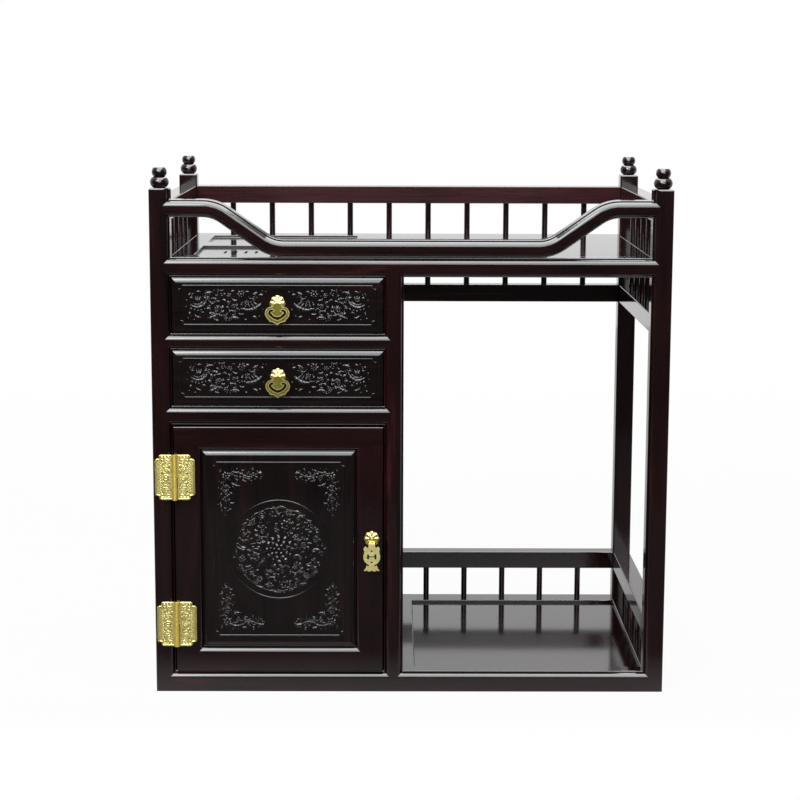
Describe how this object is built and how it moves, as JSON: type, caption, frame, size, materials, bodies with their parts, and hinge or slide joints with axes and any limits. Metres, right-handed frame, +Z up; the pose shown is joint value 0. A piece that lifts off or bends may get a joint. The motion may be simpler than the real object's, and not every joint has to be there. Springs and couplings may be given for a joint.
{
  "type": "tea cabinet table",
  "caption": "Dark lacquered hardwood tea cabinet: galleried top with a drain tray, carved drawers and a carved hinged door beside an open bay with a railed shelf.",
  "frame": {"origin": "on the floor, at the centre of the footprint including the pulls that stand proud of the front", "axes": "+Z up, front with drawers and door facing -Y, +X to the right of someone who faces the front"},
  "size_m": [0.8, 0.4894, 0.823],
  "materials": {
    "lacquered_wood": "deep red-brown gloss lacquer",
    "carcass_wood": "stained, satin",
    "brass": "polished, embossed",
    "steel": "brushed",
    "dark_plastic": "matte"
  },
  "bodies": {
    "frame": {"apron_rail_rear": "lacquered_wood", "apron_rail_right": "lacquered_wood", "apron_spindles": "lacquered_wood", "back_panel": "carcass_wood", "base_rail_front": "lacquered_wood", "base_rail_middle": "lacquered_wood", "base_rail_rear": "lacquered_wood", "base_rails_side": "lacquered_wood", "cabinet_floor": "lacquered_wood", "cloud_rail": "lacquered_wood", "divider_lower": "lacquered_wood", "divider_upper": "lacquered_wood", "door_catch": "dark_plastic", "drawer_kickers": "carcass_wood", "drawer_runners": "carcass_wood", "finials": "lacquered_wood", "gallery_rail_rear": "lacquered_wood", "gallery_rails_side": "lacquered_wood", "gallery_spindles": "lacquered_wood", "hinge_leaves_post": "brass", "hinge_pins": "brass", "partition_panel": "lacquered_wood", "post_front_left": "lacquered_wood", "post_front_right": "lacquered_wood", "post_middle_front": "lacquered_wood", "post_middle_rear": "lacquered_wood", "post_rear_left": "lacquered_wood", "post_rear_right": "lacquered_wood", "shelf_panel": "lacquered_wood", "shelf_rail_rear": "lacquered_wood", "shelf_rail_right": "lacquered_wood", "shelf_spindles": "lacquered_wood", "side_panel": "lacquered_wood", "tabletop_panel": "lacquered_wood", "top_rail_front": "lacquered_wood", "top_rail_rear": "lacquered_wood", "top_rails_side": "lacquered_wood"},
    "drawer_upper": {"drawer_front_upper": "lacquered_wood", "drawer_sides_upper": "carcass_wood", "drawer_back_upper": "carcass_wood", "drawer_bottom_upper": "carcass_wood", "pull_rosette_upper": "brass"},
    "drawer_lower": {"drawer_front_lower": "lacquered_wood", "drawer_sides_lower": "carcass_wood", "drawer_back_lower": "carcass_wood", "drawer_bottom_lower": "carcass_wood", "pull_rosette_lower": "brass"},
    "door": {"door_stiles": "lacquered_wood", "door_rails": "lacquered_wood", "door_panel": "lacquered_wood", "hinge_leaves_door": "brass", "pull_rosette_door": "brass", "door_strike": "steel"},
    "pan": {"catch_pan": "steel"},
    "board": {"drain_board": "lacquered_wood"},
    "pendant_upper": {"pull_pendant_upper": "brass"},
    "pendant_lower": {"pull_pendant_lower": "brass"},
    "pendant_door": {"pull_pendant_door": "brass"}
  },
  "joints": [
    {"name": "upper_drawer_slide", "type": "slide", "parent": "frame", "child": "drawer_upper", "axis": [0, -1, 0], "range_m": [0, 0.3]},
    {"name": "lower_drawer_slide", "type": "slide", "parent": "frame", "child": "drawer_lower", "axis": [0, -1, 0], "range_m": [0, 0.3]},
    {"name": "door_hinge", "type": "hinge", "parent": "frame", "child": "door", "pos_m": [-0.366, -0.23955, 0.2295], "axis": [0, 0, -1], "range_deg": [0, 170]},
    {"name": "pan_lift", "type": "slide", "parent": "frame", "child": "pan", "axis": [0, 0, 1], "range_m": [0, 0.06]},
    {"name": "board_lift", "type": "slide", "parent": "pan", "child": "board", "axis": [0, 0, 1], "range_m": [0, 0.06]},
    {"name": "upper_pendant_swing", "type": "hinge", "parent": "drawer_upper", "child": "pendant_upper", "pos_m": [-0.205, -0.23835, 0.61725], "axis": [-1, 0, 0], "range_deg": [0, 85]},
    {"name": "lower_pendant_swing", "type": "hinge", "parent": "drawer_lower", "child": "pendant_lower", "pos_m": [-0.205, -0.23835, 0.50425], "axis": [-1, 0, 0], "range_deg": [0, 85]},
    {"name": "door_pendant_swing", "type": "hinge", "parent": "door", "child": "pendant_door", "pos_m": [-0.06, -0.24085, 0.24], "axis": [-1, 0, 0], "range_deg": [0, 85]}
  ]
}
